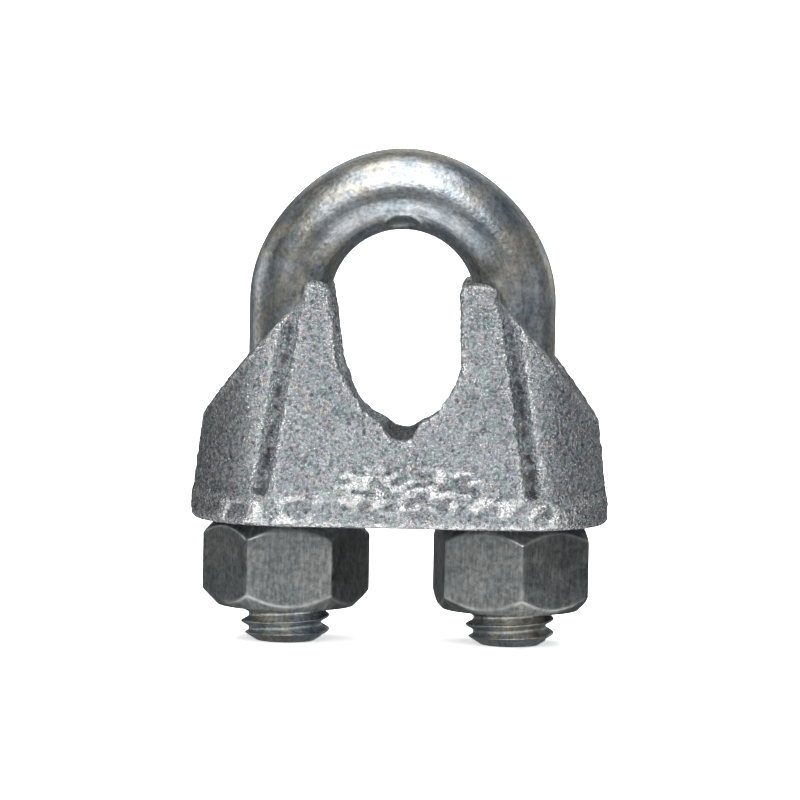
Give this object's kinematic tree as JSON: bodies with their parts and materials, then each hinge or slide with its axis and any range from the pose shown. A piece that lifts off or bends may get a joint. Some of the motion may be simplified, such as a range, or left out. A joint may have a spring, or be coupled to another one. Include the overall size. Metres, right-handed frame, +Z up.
{
  "type": "wire rope clip",
  "caption": "U-bolt clip that clamps two strands of wire rope between a threaded U-bolt and a cast saddle drawn up by hex nuts.",
  "frame": {"origin": "midway between the two stud ends, on the plane that they stand on", "axes": "+Z up the legs towards the crown of the U-bolt, X from leg to leg, Y along the rope"},
  "size_m": [0.037, 0.017, 0.044],
  "materials": {
    "plated_rod": "bright zinc plate",
    "plated_casting": "zinc plate over a grainy cast skin",
    "plated_nut": "dull zinc plate"
  },
  "bodies": {
    "u_bolt": {"u_bolt": "plated_rod"},
    "saddle": {"saddle": "plated_casting"},
    "left_nut": {"hex_nut_left": "plated_nut"},
    "right_nut": {"hex_nut_right": "plated_nut"}
  },
  "joints": [
    {"name": "saddle_slide", "type": "slide", "parent": "u_bolt", "child": "saddle", "axis": [0, 0, 1], "range_m": [-0.00312, 0.0025]},
    {"name": "left_nut_turn", "type": "hinge", "parent": "saddle", "child": "left_nut", "pos_m": [-0.01, 0, 0.0109], "axis": [0, 0, 1], "range_deg": [-900, 720]},
    {"name": "right_nut_turn", "type": "hinge", "parent": "saddle", "child": "right_nut", "pos_m": [0.01, 0, 0.0109], "axis": [0, 0, 1], "range_deg": [-900, 720]}
  ],
  "couplings": [
    {"joint": "left_nut_turn", "follows": "saddle_slide", "rad_per_m": 5026.5},
    {"joint": "right_nut_turn", "follows": "saddle_slide", "rad_per_m": 5026.5}
  ]
}
